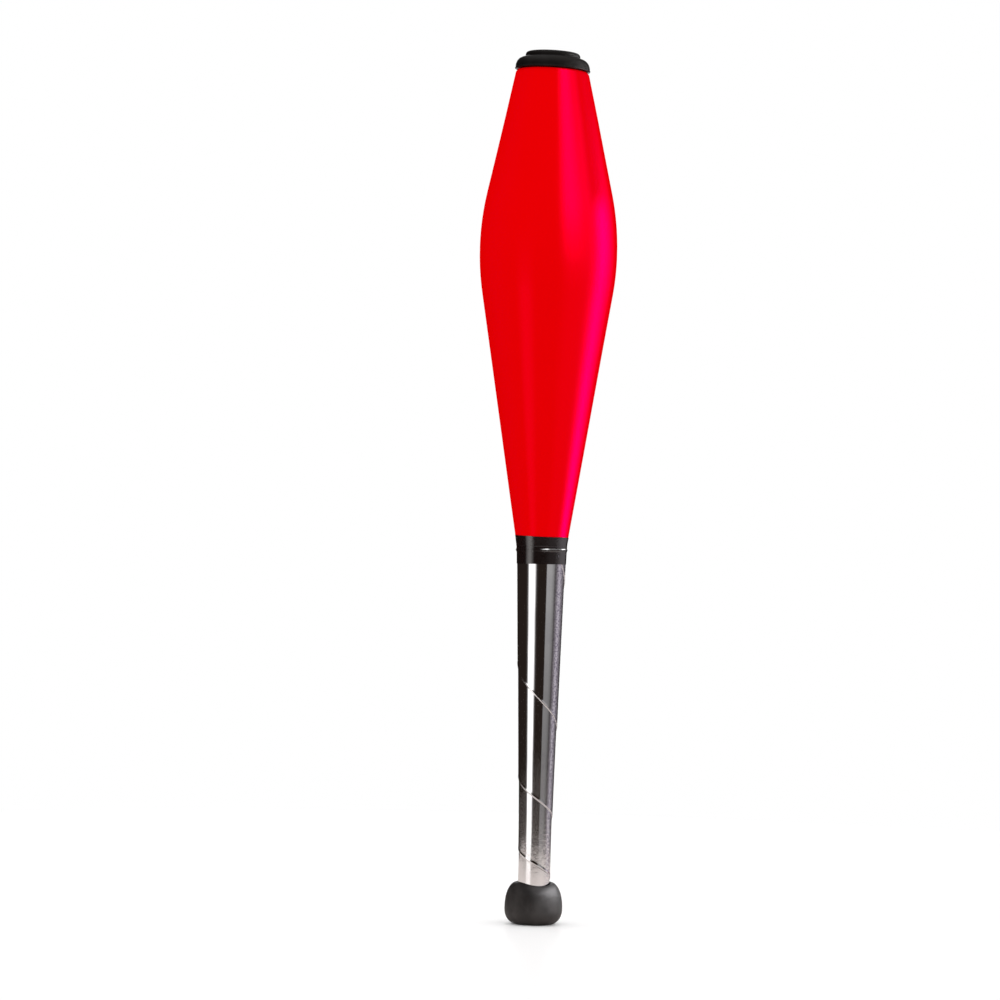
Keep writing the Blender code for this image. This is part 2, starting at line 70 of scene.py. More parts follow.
def filledOutline(parts, spacing):
    # a closed outline through all the parts' points, with more points on its long stretches:
    # the radius and height are read at the corners' distances along it and at even distances
    corners = np.vstack([np.atleast_2d(part) for part in parts])
    corners = np.vstack([corners, corners[:1]])
    lengths = np.hypot(*np.diff(corners, axis=0).T)
    at = np.concatenate([[0], np.cumsum(lengths)])
    even = np.arange(0, at[-1], spacing)
    closest = 0.35 * spacing  # an even point nearer to a corner than this is left out
    clear = np.abs(even[:, None] - at[None, :]).min(axis=1) > closest
    distance = np.sort(np.concatenate([at[:-1], even[clear]]))
    return np.column_stack([np.interp(distance, at, corners[:, 0]), np.interp(distance, at, corners[:, 1])])


def softRipple(points, seed, shortest, longest, waves=24):
    # a sum of cosine waves in space with seeded directions and phases, longer ones stronger,
    # scaled to a root mean square of one
    draw = np.random.default_rng(seed)
    direction = draw.normal(size=(waves, 3))
    direction /= np.linalg.norm(direction, axis=1, keepdims=True)
    length = np.geomspace(shortest, longest, waves)
    angle = points @ (direction * (fullTurn / length)[:, None]).T + draw.uniform(0, fullTurn, waves)
    return (np.cos(angle) * length).sum(axis=-1) / math.sqrt((length ** 2).sum() / 2)


def smoothStep(low, high, value):
    # 0 below low and 1 above high, with a cubic between them
    share = np.clip((value - low) / (high - low), 0, 1)
    return share * share * (3 - 2 * share)


def aroundAxis(radius, height, angle):
    # radius, height and angle broadcast together into points (x, y, z)
    radius, height, angle = np.broadcast_arrays(radius, height, angle)
    return np.stack([radius * np.cos(angle), radius * np.sin(angle), height], axis=-1)


def makeObject(name, points, faces, sharpDegrees=32):
    # a mesh from arrays, turned inside out if the volume that its faces enclose is negative
    fan = [np.asarray(f)[:, [0, k, k + 1]] for f in faces if len(f) for k in range(1, f.shape[1] - 1)]
    a, b, c = (points[np.vstack(fan)[:, k]] for k in range(3))
    volume = np.einsum("ij,ij->i", a, np.cross(b, c)).sum()
    step = -1 if volume < 0 else 1
    mesh = bpy.data.meshes.new(name)
    allFaces = [face for f in faces if len(f) for face in f[:, ::step].tolist()]
    mesh.from_pydata(points.tolist(), [], allFaces)
    mesh.update()
    mesh.shade_smooth()
    mesh.set_sharp_from_angle(angle=math.radians(sharpDegrees))
    thing = bpy.data.objects.new(name, mesh)
    bpy.context.scene.collection.objects.link(thing)
    return thing


def gridFaces(index):
    # one quad for each cell of a grid of point numbers
    corners = [index[:-1, :-1], index[:-1, 1:], index[1:, 1:], index[1:, :-1]]
    return np.stack(corners, axis=-1).reshape(-1, 4)


def ringSurface(name, points, sharpDegrees=32):
    # points[row, column] with the rows closed round an outline and the columns round the axis
    rows, columns = points.shape[:2]
    index = np.arange(rows * columns).reshape(rows, columns)
    index = np.pad(index, ((0, 1), (0, 1)), mode="wrap")
    return makeObject(name, points.reshape(-1, 3), [gridFaces(index)], sharpDegrees)


def rodSurface(name, points, sharpDegrees=32):
    # points[row, column] closed round the axis, with both end rows drawn in to a pole
    rows, columns = points.shape[:2]
    index = np.pad(np.arange(rows * columns).reshape(rows, columns), ((0, 0), (0, 1)), mode="wrap")
    poles = np.stack([points[0].mean(axis=0), points[-1].mean(axis=0)])
    first, last = rows * columns, rows * columns + 1
    start = np.column_stack([np.full(columns, first), index[0, 1:], index[0, :-1]])
    end = np.column_stack([np.full(columns, last), index[-1, :-1], index[-1, 1:]])
    allPoints = np.vstack([points.reshape(-1, 3), poles])
    return makeObject(name, allPoints, [gridFaces(index), start, end], sharpDegrees)


def evenAngles(count):
    return np.arange(count) * fullTurn / count


def finishPiece(piece, material, slotName, *nodes):
    piece.data.materials.append(material)
    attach(piece, "root")
    if nodes:
        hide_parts(*nodes)
    return piece


class Value:
    # one number on a surface, with arithmetic that adds Math nodes
    def __init__(self, finish, socket):
        self.finish = finish
        self.socket = socket

    def maths(self, operation, *operands):
        links = dict(enumerate(operands))
        return self.finish.add("ShaderNodeMath", {"operation": operation}, links)

    def __add__(self, other):
        return self.maths("ADD", self, other)

    def __radd__(self, other):
        return self.maths("ADD", other, self)

    def __sub__(self, other):
        return self.maths("SUBTRACT", self, other)

    def __rsub__(self, other):
        return self.maths("SUBTRACT", other, self)

    def __mul__(self, other):
        return self.maths("MULTIPLY", self, other)

    def __rmul__(self, other):
        return self.maths("MULTIPLY", other, self)

    def __pow__(self, other):
        return self.maths("POWER", self, other)

    def smooth(self, low, high):
        inputs = {"Value": self, "From Min": low, "From Max": high}
        return self.finish.add("ShaderNodeMapRange", {"interpolation_type": "SMOOTHSTEP"}, inputs)


class Finish:
    # a material under construction
    def __init__(self, name):
        self.material = bpy.data.materials.new(name)
        self.material.use_nodes = True
        self.tree = self.material.node_tree
        self.tree.nodes.clear()

    def add(self, kind, settings=None, inputs=None, output=0):
        node = self.tree.nodes.new(kind)
        for name, value in (settings or {}).items():
            if name == "stops":
                self.setStops(node.color_ramp, value)
            else:
                setattr(node, name, value)
        for name, value in (inputs or {}).items():
            if isinstance(value, Value):
                self.tree.links.new(value.socket, node.inputs[name])
            else:
                node.inputs[name].default_value = value
        return Value(self, node.outputs[output] if node.outputs else None)

    def setStops(self, ramp, stops):
        while len(ramp.elements) < len(stops):
            ramp.elements.new(1.0)
        for element, (position, colour) in zip(ramp.elements, stops):
            element.position = position
            element.color = (*colour, 1.0)

    def objectPoint(self):
        return self.add("ShaderNodeTexCoord", output="Object")

    def axes(self):
        split = self.tree.nodes.new("ShaderNodeSeparateXYZ")
        self.tree.links.new(self.objectPoint().socket, split.inputs[0])
        return [Value(self, split.outputs[k]) for k in range(3)]

    def stretched(self, scale):
        return self.add("ShaderNodeMapping", inputs={"Vector": self.objectPoint(), "Scale": scale})

    def noise(self, point, scale, detail=2.0, roughness=0.5):
        return self.add("ShaderNodeTexNoise", inputs={
            "Vector": point, "Scale": scale, "Detail": detail, "Roughness": roughness})

    def colourMix(self, factor, first, second):
        return self.add("ShaderNodeMix", {"data_type": "RGBA"}, {
            0: factor, 6: rgba(first), 7: rgba(second)}, output=2)

    def bump(self, height, distance, strength=1.0):
        return self.add("ShaderNodeBump", inputs={
            "Height": height, "Distance": distance, "Strength": strength})

    def principled(self, **inputs):
        named = {key.replace("_", " "): value for key, value in inputs.items()}
        return self.add("ShaderNodeBsdfPrincipled", inputs=named)

    def finished(self, shader):
        self.add("ShaderNodeOutputMaterial", inputs={"Surface": shader})
        return self.material


def rgba(colour):
    return colour if isinstance(colour, Value) else (*colour, 1.0)


redPlastic = {
    "colour": (0.935, 0.0, 0.0006),
    "shadeColour": (0.915, 0.0, 0.0004),
    "glossFacing": (1.0, 0.0, 0.07),
    "glossGrazing": (1.0, 0.0, 0.20),
    "glossLeast": 0.045,
    "glossRise": 0.11,
    "glossCurve": 1.5,
    "grazing": (0.1, 0.45),        # how far from facing the gloss changes its colour
    "roughness": 0.13,
    "cloudRoughness": 0.06,
    "shellRoughness": 0.35,
    "shellCloudRoughness": 0.1,
    "cloudSize": 22.0,
    "grainSize": 1600.0,
    "grainHeight": 0.000004,
    "flowScale": (90.0, 90.0, 9.0),  # runs along the draw
    "flowHeight": 0.00002,
}


def makeRedPlastic(look=redPlastic):
    finish = Finish("redPlastic")
    cloud = finish.noise(finish.objectPoint(), look["cloudSize"], 3.0)
    grain = finish.noise(finish.objectPoint(), look["grainSize"], 2.0)
    flow = finish.noise(finish.stretched(look["flowScale"]), 1.0, 2.0)
    surface = finish.bump(grain, look["grainHeight"])
    surface = finish.add("ShaderNodeBump", inputs={
        "Height": flow, "Distance": look["flowHeight"], "Normal": surface, "Strength": 1.0})
    body = finish.principled(
        Base_Color=finish.colourMix(cloud, look["shadeColour"], look["colour"]),
        Roughness=look["shellRoughness"] + look["shellCloudRoughness"] * cloud,
        Normal=surface,
        Specular_IOR_Level=0.0,
    )
    facing = finish.add("ShaderNodeLayerWeight", inputs={"Blend": 0.5}, output="Facing")
    grazing = facing.smooth(*look["grazing"])
    gloss = finish.principled(
        Base_Color=finish.colourMix(grazing, look["glossFacing"], look["glossGrazing"]),
        Metallic=1.0,
        Specular_Tint=rgba(look["glossGrazing"]),
        Roughness=look["roughness"] + look["cloudRoughness"] * cloud,
        Normal=surface,
    )
    share = look["glossLeast"] + look["glossRise"] * facing ** look["glossCurve"]
    return finish.finished(finish.add("ShaderNodeMixShader", inputs={0: share, 1: body, 2: gloss}))


silverFoil = {
    "colour": (0.90, 0.885, 0.885),
    "dullColour": (0.74, 0.72, 0.75),
    # painted reflection: the foil's foot is given this brighter colour, standing for the pale floor that it
    # mirrors
    "footReflectionColour": (1.0, 0.985, 0.985),
    "unhandledFootPaintedBright": (0.024, 0.044),   # heights between which the foot of the foil ends: below them it is less crinkled, and painted brighter as a painted reflection of the pale floor
    # painted reflection: darker lilac spots on the +X side stand for the mottled lilac reflection of the
    # light there
    "spotReflectionColour": (0.40, 0.37, 0.43),
    "spotSize": 900.0,
    "spotLimits": (0.42, 0.64),
    "dullLimits": (0.35, 0.75),
    "dullMost": 0.5,
    "handledTop": (0.045, 0.095),  # heights between which the most handled stretch ends
    "sideSlope": (60.0, 22.0),     # how fast the crinkled side, which also carries the painted reflection spots, starts towards +X and +Y
    "sideStart": (0.1, 0.45),
    "rearStart": (0.0, 0.5),
    "rearLoss": 0.8,               # the crinkling that is gone again at the back
    "roughness": 0.06,
    "cloudRoughness": 0.04,
    "sideRoughness": 0.05,
    "cloudSize": 70.0,
    "crinkleSize": 620.0,
    "crinkleHeight": 0.00009,
    "crinkleShares": (0.03, 0.8, 0.14),  # everywhere, at the side and where it is handled
    "creaseScale": (260.0, 260.0, 60.0),
    "creaseShares": (0.15, 0.35),        # everywhere and where it is handled
    "footWear": 0.25,                    # of the handled stretch's wear, at the unhandled foot, which is painted brighter
}


def makeSilverFoil(look=silverFoil):
    finish = Finish("silverFoil")
    x, y, z = finish.axes()
    cloud = finish.noise(finish.objectPoint(), look["cloudSize"], 3.0)
    crinkle = finish.noise(finish.objectPoint(), look["crinkleSize"], 3.0, 0.6)
    creases = finish.noise(finish.stretched(look["creaseScale"]), 1.0, 4.0, 0.6)
    slopeX, slopeY = look["sideSlope"]
    rear = (y * slopeX).smooth(*look["rearStart"])
    side = (x * slopeX + y * slopeY).smooth(*look["sideStart"]) * (1.0 - look["rearLoss"] * rear)
    lower = 1.0 - z.smooth(*look["handledTop"])
    spots = finish.noise(finish.objectPoint(), look["spotSize"], 3.0, 0.6)
    handledNotPaintedBright = z.smooth(*look["unhandledFootPaintedBright"])  # hands don't reach the foot beside the knob, so it is less crinkled; its colour there is painted brighter, a painted reflection of the pale floor
    used = lower * (look["footWear"] + (1.0 - look["footWear"]) * handledNotPaintedBright)
    even, atSide, atUsed = look["crinkleShares"]
    crinkled = crinkle * (even + atSide * side + atUsed * used)
    creased = creases * (look["creaseShares"][0] + look["creaseShares"][1] * used)
    surface = finish.bump(crinkled + creased, look["crinkleHeight"])
    dull = cloud.smooth(*look["dullLimits"]) * look["dullMost"]
    plain = finish.colourMix(dull, look["colour"], look["dullColour"])
    # painted reflection: below the foot's heights the foil takes the brighter colour
    plain = finish.colourMix(handledNotPaintedBright, look["footReflectionColour"], plain)
    # painted reflection: lilac spots on the crinkled +X side, where the light's mottled reflection falls
    reflectionSpots = side * spots.smooth(*look["spotLimits"])
    return finish.finished(finish.principled(
        Base_Color=finish.colourMix(reflectionSpots, plain, look["spotReflectionColour"]),
        Metallic=1.0,
        Roughness=look["roughness"] + look["cloudRoughness"] * cloud + look["sideRoughness"] * side,
        Normal=surface,
    ))


blackTape = {
    "colour": (0.0065, 0.0028, 0.0026),
    "paleColour": (0.0095, 0.0045, 0.0042),
    "roughness": 0.09,
    "cloudRoughness": 0.09,
    "cloudSize": 160.0,
    "index": 1.9,
    "skinScale": (420.0, 420.0, 1300.0),
    "skinHeight": 0.00003,
}


def makeBlackTape(look=blackTape):
    finish = Finish("blackTape")
    cloud = finish.noise(finish.objectPoint(), look["cloudSize"], 3.0)
    skin = finish.noise(finish.stretched(look["skinScale"]), 1.0, 3.0)
    return finish.finished(finish.principled(
        Base_Color=finish.colourMix(cloud, look["colour"], look["paleColour"]),
        Roughness=look["roughness"] + look["cloudRoughness"] * cloud,
        IOR=look["index"],
        Normal=finish.bump(skin, look["skinHeight"]),
    ))


rubberSkin = {
    "cloudSize": 140.0,
    "cloudRoughness": 0.12,
    "patchScale": (150.0, 150.0, 60.0),
    "dustLimits": (0.40, 0.66),
    "grainSize": 2600.0,
}

knobRubber = {
    **rubberSkin,
    "colour": (0.0185, 0.0150, 0.0142),
    "dustColour": (0.036, 0.031, 0.030),
    "roughness": 0.46,
    "index": 1.6,
    "grainHeight": 0.00002,
}

capRubber = {
    **rubberSkin,
    "colour": (0.0070, 0.0042, 0.0036),
    "dustColour": (0.0115, 0.0080, 0.0070),
    "roughness": 0.40,
    "index": 1.35,
    "grainHeight": 0.00001,
}


def makeBlackRubber(name, look):
    finish = Finish(name)
    cloud = finish.noise(finish.objectPoint(), look["cloudSize"], 4.0)
    patches = finish.noise(finish.stretched(look["patchScale"]), 1.0, 4.0, 0.65)
    grain = finish.noise(finish.objectPoint(), look["grainSize"], 2.0)
    dust = (0.5 * cloud + 0.5 * patches).smooth(*look["dustLimits"])
    return finish.finished(finish.principled(
        Base_Color=finish.colourMix(dust, look["colour"], look["dustColour"]),
        Roughness=look["roughness"] + look["cloudRoughness"] * cloud,
        IOR=look["index"],
        Normal=finish.bump(grain, look["grainHeight"]),
    ))


steelLook = {
    "colour": (0.60, 0.61, 0.62),
    "dull": (0.46, 0.46, 0.45),
    "roughness": 0.26,
    "cloudRoughness": 0.18,
    "cloudSize": 420.0,
    "turningScale": (900.0, 900.0, 7000.0),
    "turningHeight": 0.000006,
}


def makeSteel(look=steelLook):
    finish = Finish("zincSteel")
    cloud = finish.noise(finish.objectPoint(), look["cloudSize"], 4.0)
    turning = finish.noise(finish.stretched(look["turningScale"]), 1.0, 2.0)
    return finish.finished(finish.principled(
        Base_Color=finish.colourMix(cloud, look["dull"], look["colour"]),
        Metallic=1.0,
        Roughness=look["roughness"] + look["cloudRoughness"] * cloud,
        Normal=finish.bump(turning, look["turningHeight"]),
    ))


beechLook = {
    "light": (0.60, 0.40, 0.21),
    "dark": (0.42, 0.24, 0.11),
    "toneLimits": (0.3, 0.7),
    "ringScale": (240.0, 240.0, 10.0),  # the grain runs along the dowel
    "poreScale": (2600.0, 2600.0, 130.0),
    "poreHeight": 0.00003,
    "roughness": 0.55,
    "poreRoughness": 0.2,
}


def makeBeech(look=beechLook):
    finish = Finish("beechWood")
    rings = finish.noise(finish.stretched(look["ringScale"]), 1.0, 3.0, 0.6)
    pores = finish.noise(finish.stretched(look["poreScale"]), 1.0, 2.0)
    tone = rings * 0.75 + pores * 0.25
    return finish.finished(finish.principled(
        Base_Color=finish.colourMix(tone.smooth(*look["toneLimits"]), look["dark"], look["light"]),
        Roughness=look["roughness"] + look["poreRoughness"] * pores,
        Normal=finish.bump(pores, look["poreHeight"]),
    ))


plainPlasticLook = {
    "colour": (0.62, 0.61, 0.57),
    "shade": (0.50, 0.49, 0.45),
    "roughness": 0.4,
    "cloudRoughness": 0.15,
    "cloudSize": 90.0,
    "grainSize": 1800.0,
    "grainHeight": 0.00001,
}


def makePlainPlastic(look=plainPlasticLook):
    finish = Finish("plainPlastic")
    cloud = finish.noise(finish.objectPoint(), look["cloudSize"], 3.0)
    grain = finish.noise(finish.objectPoint(), look["grainSize"], 2.0)
    return finish.finished(finish.principled(
        Base_Color=finish.colourMix(cloud, look["shade"], look["colour"]),
        Roughness=look["roughness"] + look["cloudRoughness"] * cloud,
        Normal=finish.bump(grain, look["grainHeight"]),
    ))


# the cap sits slightly aslant, higher towards -X, and the body's mouth follows it
capTilt = math.tan(math.radians(2.0))
holeRadius = 0.0023  # for the screws

bodyShape = {
    "bellyHeight": 0.4015,
    "bellyArc": 0.165,
    "lowerTaper": math.radians(9.1),
    "upperTaper": math.radians(12.2),
    "wall": 0.0018,
    "mouthRound": 0.0014,
    "lipRound": 0.0008,
    "seamHeight": 0.00007,      # the mould's parting line, on both sides
    "seamWidth": 0.0009,
    "seamSpread": 0.012,        # radians, the unit of the columns' places beside the line
    "wideColumns": 122,
    "wobble": 0.000035,
    "wobbleMost": 0.00008,
    "mostShare": 1.0015,        # of the belly's radius
    "slantReach": 0.03,         # how far below the mouth the slant starts
    "outerRows": 150,
    "innerRows": 70,
    "mouthRows": 7,
    "lipRows": 5,
}


def bodyRadius(z, inset=0.0):
    # an arc round the belly and the straight tangents at its ends, all moved in by the inset
    arc = bodyShape["bellyArc"] - inset
    lower, upper = bodyShape["lowerTaper"], bodyShape["upperTaper"]
    low = bodyShape["bellyHeight"] - arc * math.sin(lower)
    high = bodyShape["bellyHeight"] + arc * math.sin(upper)
    onArc = np.clip(z, low, high) - bodyShape["bellyHeight"]
    radius = bellyRadius - bodyShape["bellyArc"] + np.sqrt(arc ** 2 - onArc ** 2)
    return radius - np.maximum(low - z, 0) * math.tan(lower) - np.maximum(z - high, 0) * math.tan(upper)


def makeBodyShell(material):
    shape = bodyShape
    lip, mouth = shape["lipRound"], shape["mouthRound"]
    mouthEdge, lipEdge = bodyRadius(mouthHeight) - mouth, bodyRadius(neckHeight) - lip
    outerHeights = np.linspace(mouthHeight - mouth, neckHeight + lip, shape["outerRows"])
    innerHeights = np.linspace(neckHeight, mouthHeight, shape["innerRows"])
    outline = np.vstack([
        arcPoints(mouthEdge, mouthHeight - mouth, mouth, mouth, 90, 8, shape["mouthRows"]),
        np.column_stack([bodyRadius(outerHeights), outerHeights]),
        arcPoints(lipEdge, neckHeight + lip, lip, lip, -12, -90, shape["lipRows"]),
        np.column_stack([bodyRadius(innerHeights, shape["wall"]), innerHeights]),
    ])
    outside = np.arange(len(outline)) < shape["mouthRows"] + len(outerHeights)
    # columns crowd together at the parting line, so that its thin ridge is a real one
    near = np.array([-3, -2, -1.4, -1, -0.7, -0.4, -0.2, 0, 0.2, 0.4, 0.7, 1, 1.4, 2, 3])
    near = near * shape["seamSpread"]
    wide = np.linspace(near[-1], math.pi + near[0], shape["wideColumns"])[1:-1]
    angle = np.concatenate([near, wide, near + math.pi, wide + math.pi])
    points = aroundAxis(outline[:, :1], outline[:, 1:], angle[None, :])
    across = np.abs(np.sin(angle))[None, :] * outline[:, :1]
    ridge = shape["seamHeight"] * np.exp(-(across / (shape["seamWidth"] / 2)) ** 2)
    swell = shape["wobble"] * softRipple(points, 3, 0.045, 0.16, 12)
    relief = ridge + np.minimum(swell, shape["wobbleMost"])
    radius = outline[:, :1] + np.where(outside[:, None], relief, 0)
    radius = np.minimum(radius, bellyRadius * shape["mostShare"])
    points = aroundAxis(radius, outline[:, 1:], angle[None, :])
    slanted = smoothStep(mouthHeight - shape["slantReach"], mouthHeight, points[..., 2])
    points[..., 2] -= capTilt * points[..., 0] * slanted
    return finishPiece(ringSurface("bodyShell", points), material, "red_shell", "body_shell")


foilShape = {
    "gripRadius": 0.00925,
    "straightBelow": 0.048,
    "softBend": 0.012,         # the height over which the taper sets in
    "taper": 0.0302,
    "layer": 0.00036,          # thickness of one layer, and so the step at the free edge
    "leastRadius": 0.0081,
    "ease": 0.004,             # growth of the least radius with height, above a start
    "easeAbove": 0.070,
    "frontHeight": 0.0360,
    "ramp": 0.00060,           # how gently the free edge comes down
    "bead": 0.00007,           # the free edge curls up a little
    "beadWidth": 0.0010,
    "columns": 120,            # in one turn
    "rows": 52,
    "turns": 6.6,
    "turnsBelow": 1.9,         # of those, the ones that start below the crossing at the front
    "filmWall": 0.00016,
    "crease": 0.000004,
    "creaseStretch": 0.35,
    "ripple": 0.000004,
}


def gripRadius(z):
    # straight near the knob, then an even taper, with a soft change between them
    over = z - foilShape["straightBelow"]
    soft = foilShape["softBend"]
    return foilShape["gripRadius"] + foilShape["taper"] * soft * np.logaddexp(0, over / soft)


def edgeHeight(turned):
    # height of the strip's free edge after a given turn, in radians from the front. A flat
    # strip lies on a cone nearly along a geodesic, so the turn reached at a height is the
    # integral of least / (r * sqrt(r^2 - least^2)) over the height, here read backwards
    height = np.linspace(-0.1, 1.2, 5201)
    eased = np.maximum(height - foilShape["easeAbove"], 0)
    least = foilShape["leastRadius"] + foilShape["ease"] * eased
    r = gripRadius(height)
    rate = least / (r * np.sqrt(r * r - least ** 2))
    total = np.concatenate([[0], np.cumsum((rate[1:] + rate[:-1]) / 2 * np.diff(height))])
    total -= np.interp(foilShape["frontHeight"], height, total)
    return np.interp(turned, total, height)


def foilLift(above, below):
    # height of the surface over one layer: each turn leans on the one below, so it stands up by
    # a layer at its free edge, with a curled lip, and sinks evenly to the foot of the next step
    shape = foilShape
    step = smoothStep(-shape["ramp"], 0, -below)
    leaning = below / (above + below)
    half = shape["beadWidth"] / 2
    lip = np.exp(-((above - half) / half) ** 2)
    return shape["layer"] * np.maximum(step, leaning) + shape["bead"] * lip


def makeFoilWrap(material):
    shape = foilShape
    columns, rows = shape["columns"], shape["rows"]
    count = int(columns * shape["turns"])
    turned = (np.arange(count) - shape["turnsBelow"] * columns) * fullTurn / columns
    edge = edgeHeight(turned)[None, :]
    nextEdge = edgeHeight(turned + fullTurn)[None, :]
    lip = np.array([0, 0.15, 0.3, 0.5, 0.75, 1.0, 1.4, 2.0]) * shape["beadWidth"]
    ramp = np.array([1.6, 1.2, 0.9, 0.7, 0.5, 0.3, 0.15]) * shape["ramp"]
    share = np.linspace(0, 1, rows - len(lip) - len(ramp) + 2)[1:-1, None]
    low, high = edge + lip[-1], nextEdge - ramp[0]
    height = np.vstack([edge + lip[:, None], low + (high - low) * share, nextEdge - ramp[:, None]])
    angle = -math.pi / 2 - turned[None, :]
    radius = gripRadius(height) + foilLift(height - edge, nextEdge - height)
    points = aroundAxis(radius, height, angle)
    stretched = points * np.array([1.0, 1.0, shape["creaseStretch"]])
    radius = radius + shape["crease"] * softRipple(stretched, 11, 0.004, 0.012)
    radius = radius + shape["ripple"] * softRipple(points, 12, 0.012, 0.05)
    points = aroundAxis(radius, height, angle)
    # each turn's last row joins the first row of the turn above, so the strip is one surface
    index = np.arange(height.size).reshape(height.shape)
    joined = np.vstack([index[:, :-columns], index[:1, columns:]])
    lastTurn = index[:, -columns - 1:]
    foil = makeObject("foilWrap", points.reshape(-1, 3), [gridFaces(joined), gridFaces(lastTurn)])
    trimBetween(foil.data, foilLow, foilHigh)
    wall = foil.modifiers.new("film", "SOLIDIFY")
    wall.thickness = shape["filmWall"]
    wall.offset = -1.0
    return finishPiece(foil, material, "silver_foil", "foil_wrap")


def trimBetween(mesh, low, high):
    # what lies below the low height and above the high one is cut off
    shape = bmesh.new()
    shape.from_mesh(mesh)
    for height, normal in ((low, (0, 0, -1)), (high, (0, 0, 1))):
        everything = shape.verts[:] + shape.edges[:] + shape.faces[:]
        bmesh.ops.bisect_plane(
            shape, geom=everything, plane_co=(0, 0, height), plane_no=normal, clear_outer=True)
    shape.to_mesh(mesh)
    shape.free()
    mesh.update()


tapeShape = {
    "thickness": 0.00022,
    "clear": 0.00004,
    "foilAt": 0.003,           # how far up the tape the foil's lift is read
    "bridge": 0.00012,         # how softly the tape passes over the body's lip
    "underLip": 0.12,          # its slope from the lip down to the foil
    "foldHeight": -0.0011,     # from the body's lip
    "foldSize": 0.00042,
    "foldUnsteady": 0.28,
    "foldWidth": 0.00080,
    "foldDrift": 0.00012,
    "lineHeight": 0.0017,
    "lineSize": 0.00006,
    "lineWidth": 0.00028,
    "lineDrift": 0.00020,
    "ripple": 0.000018,
    "slant": 0.00035,
    "edgeSag": 0.00012,
    "edgeReach": 0.004,        # how far below the upper edge its sag and slant start
    "lapStep": 0.00013,
    "lapAngle": math.radians(150),
    "lapEdge": 0.012,          # radians
    "lapSpread": 0.9,
    "lapFade": 0.2,
    "cornerRound": 0.0035,
    "rows": 110,
    "columns": 260,
}


def foilHeightAt(angle, z):
    # how far the foil stands over one layer at each angle, smoothed round the handle
    turned = -math.pi / 2 - angle
    lift = np.zeros_like(angle)
    for k in range(-1, 6):  # the turns of foil that can reach this height
        above = z - edgeHeight(turned + k * fullTurn)
        below = edgeHeight(turned + (k + 1) * fullTurn) - z
        lift = np.where((above >= 0) & (below > 0), below / (above + below), lift)
    kernel = np.hanning(41)
    wrapped = np.pad(lift, len(kernel) // 2, mode="wrap")
    return np.convolve(wrapped, kernel / kernel.sum(), mode="valid") * foilShape["layer"]


def makeNeckTape(material):
    shape = tapeShape
    angle = evenAngles(shape["columns"])[None, :]
    height = np.linspace(tapeLow, tapeHigh, shape["rows"])[:, None]
    lift = foilHeightAt(angle[0], tapeLow + shape["foilAt"])[None, :]
    onFoil = gripRadius(height) + lift + shape["clear"]
    onBody = bodyRadius(height) + shape["clear"]
    # a soft maximum of the two cones under the tape, so it bridges the body's lip
    soft = shape["bridge"]
    above = height > neckHeight
    body = np.where(above, onBody, bodyRadius(neckHeight))
    under = soft * np.logaddexp(onFoil / soft, body / soft)
    downLip = under - (neckHeight - height) * shape["underLip"]
    under = np.where(above, under, np.maximum(onFoil, downLip))
    base = aroundAxis(under, height, angle)
    flat = base * np.array([1, 1, 0])
    unsteady = softRipple(base * np.array([1, 1, 0.1]), 21, 0.012, 0.04, 10)
    foldDrift = shape["foldDrift"] * softRipple(flat, 22, 0.02, 0.06, 8)
    fold = neckHeight + shape["foldHeight"] + foldDrift
    foldSize = shape["foldSize"] * (1 + shape["foldUnsteady"] * unsteady)
    bulge = foldSize * np.exp(-((height - fold) / shape["foldWidth"]) ** 2)
    lineDrift = shape["lineDrift"] * softRipple(flat, 26, 0.03, 0.08, 8)
    line = neckHeight + shape["lineHeight"] + lineDrift
    crease = shape["lineSize"] * np.exp(-((height - line) / shape["lineWidth"]) ** 2)
    outer = under + shape["thickness"] + bulge + crease
    outer = outer + shape["ripple"] * softRipple(base, 23, 0.006, 0.03)
    # the outer turn's end: a step round the lap's edge, whose upper corner is cut round
    corner = np.clip((height - (tapeHigh - shape["cornerRound"])) / shape["cornerRound"], 0, 1)
    cut = (1 - np.sqrt(1 - corner ** 2)) * shape["cornerRound"] / under
    past = (angle - shape["lapAngle"] + cut + math.pi) % fullTurn - math.pi
    lap = smoothStep(-shape["lapEdge"], shape["lapEdge"], -past)
    lap = lap * smoothStep(-shape["lapSpread"] - shape["lapFade"], -shape["lapSpread"], past)
    outer = outer + shape["lapStep"] * lap
    edgeSag = shape["edgeSag"] * softRipple(flat, 24, 0.02, 0.07, 8)
    slant = -shape["slant"] * np.cos(angle)
    height = height + (edgeSag + slant) * smoothStep(tapeHigh - shape["edgeReach"], tapeHigh, height)
    points = [aroundAxis(under, height, angle), aroundAxis(outer, height, angle)[::-1]]
    tape = ringSurface("neckTape", np.concatenate(points), 50)
    return finishPiece(tape, material, "black_tape", "neck_tape")


knobShape = {
    "footRadius": 0.0100,
    "footRise": 0.0090,
    "widest": 0.0100,
    "rimRadius": 0.0103,
    "rimRound": 0.0004,
    "rimDip": 0.0017,          # the stretched rim sags on one side
    "dipReach": 0.0080,
    "dipAzimuth": 22.0,
    "socketRadius": 0.0099,
    "socketFloor": 0.0090,
    "recessRadius": 0.0065,
    "recessDepth": 0.0050,
    "recessEdge": 0.0004,
    "flashAt": 0.0096,         # the mould's line round the knob
    "flashHeight": 0.00005,
    "flashWidth": 0.00022,
    "wobble": 0.00004,
    "spacing": 0.0007,
    "columns": 192,
}


